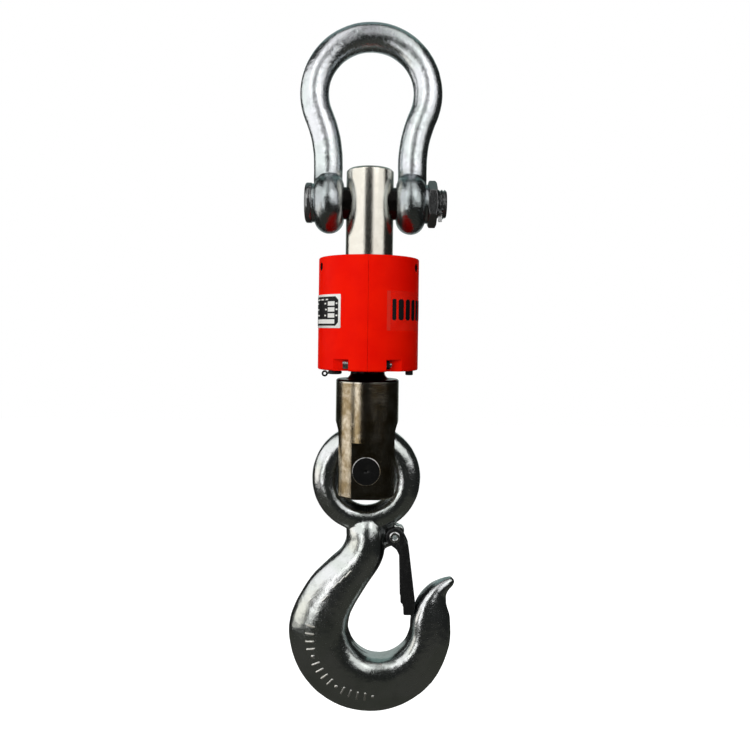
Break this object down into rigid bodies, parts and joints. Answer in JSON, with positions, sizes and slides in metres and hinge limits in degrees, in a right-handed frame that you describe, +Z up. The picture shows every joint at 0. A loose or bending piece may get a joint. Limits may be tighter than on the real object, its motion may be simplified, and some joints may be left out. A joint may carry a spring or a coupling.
{
  "type": "crane scale",
  "caption": "Hanging crane scale with a bow shackle above, a load cell in a round housing, and a swinging eye hook with a sprung safety latch below.",
  "frame": {"origin": "the bearing point at the inside of the shackle bow's crown, where the scale hangs", "axes": "+Z up along the load line; +X toward the nut end of the shackle pin and the hook's open side; +Y from the front, where the housing's seam and labels are, to the back"},
  "size_m": [0.165, 0.0998, 0.6866],
  "materials": {
    "zinc_steel": "bright zinc plate over a forged surface",
    "nickel_steel": "satin nickel plate, slightly warm",
    "black_steel": "black coated",
    "red_housing": "semi-gloss",
    "black_plastic": "matte",
    "black_rubber": "matte",
    "plate_white": "printed metal plate",
    "label_film": "clear film",
    "gauge_foil": "amber carrier film",
    "wire_insulation": "matte",
    "board_green": "solder mask",
    "bracket_aluminium": "plain sheet",
    "brass": "plain",
    "radio_can": "tinned",
    "cell_sleeve": "shrink sleeve"
  },
  "bodies": {
    "shackle": {"shackle_bow": "zinc_steel", "shackle_pin": "black_steel", "shackle_nut": "black_steel", "shackle_split_pin": "zinc_steel"},
    "load_cell": {"load_spindle": "nickel_steel", "strain_gauges": "gauge_foil", "gauge_cover": "black_rubber", "gauge_wires": "wire_insulation", "housing_left": "red_housing", "housing_right": "red_housing", "shell_join_screws": "zinc_steel", "shell_join_nuts": "black_steel", "shell_fixing_screws": "black_steel", "top_seal": "black_rubber", "bottom_seal": "black_rubber", "nameplate": "plate_white", "capacity_label": "label_film", "board_bracket": "bracket_aluminium", "bracket_screws": "zinc_steel", "main_board": "board_green", "board_components": "black_plastic", "board_spacers": "brass", "board_screws": "zinc_steel", "radio_module": "radio_can", "radio_antenna": "black_plastic", "battery_cells": "cell_sleeve", "battery_holders": "black_plastic", "battery_wires": "wire_insulation", "charging_socket": "black_plastic", "charging_socket_nut": "zinc_steel", "switch_body": "black_plastic", "hook_pin": "black_steel", "hook_pin_screw": "black_steel"},
    "power_button": {"power_button": "black_plastic"},
    "charging_cap": {"charging_cap": "black_rubber"},
    "hook": {"hook": "zinc_steel", "latch_rivet": "zinc_steel"},
    "latch": {"latch": "black_steel", "latch_spring": "zinc_steel"}
  },
  "joints": [
    {"name": "scale_swing", "type": "hinge", "parent": "shackle", "child": "load_cell", "pos_m": [0, 0, -0.152], "axis": [1, 0, 0], "range_deg": [-120, 120]},
    {"name": "hook_swing", "type": "hinge", "parent": "load_cell", "child": "hook", "pos_m": [0, 0, -0.41465], "axis": [0, 1, 0], "range_deg": [-40, 40]},
    {"name": "latch_open", "type": "hinge", "parent": "hook", "child": "latch", "pos_m": [0.029, 0, -0.482], "axis": [0, 1, 0], "range_deg": [0, 34], "stiffness_Nm_per_rad": 0.2, "springref_deg": -34.38},
    {"name": "power_press", "type": "slide", "parent": "load_cell", "child": "power_button", "axis": [0, 0, 1], "range_m": [0, 0.0018], "stiffness_N_per_m": 1500, "springref_m": -0.001},
    {"name": "cap_pull", "type": "slide", "parent": "load_cell", "child": "charging_cap", "axis": [0, 0, -1], "range_m": [0, 0.014]}
  ]
}
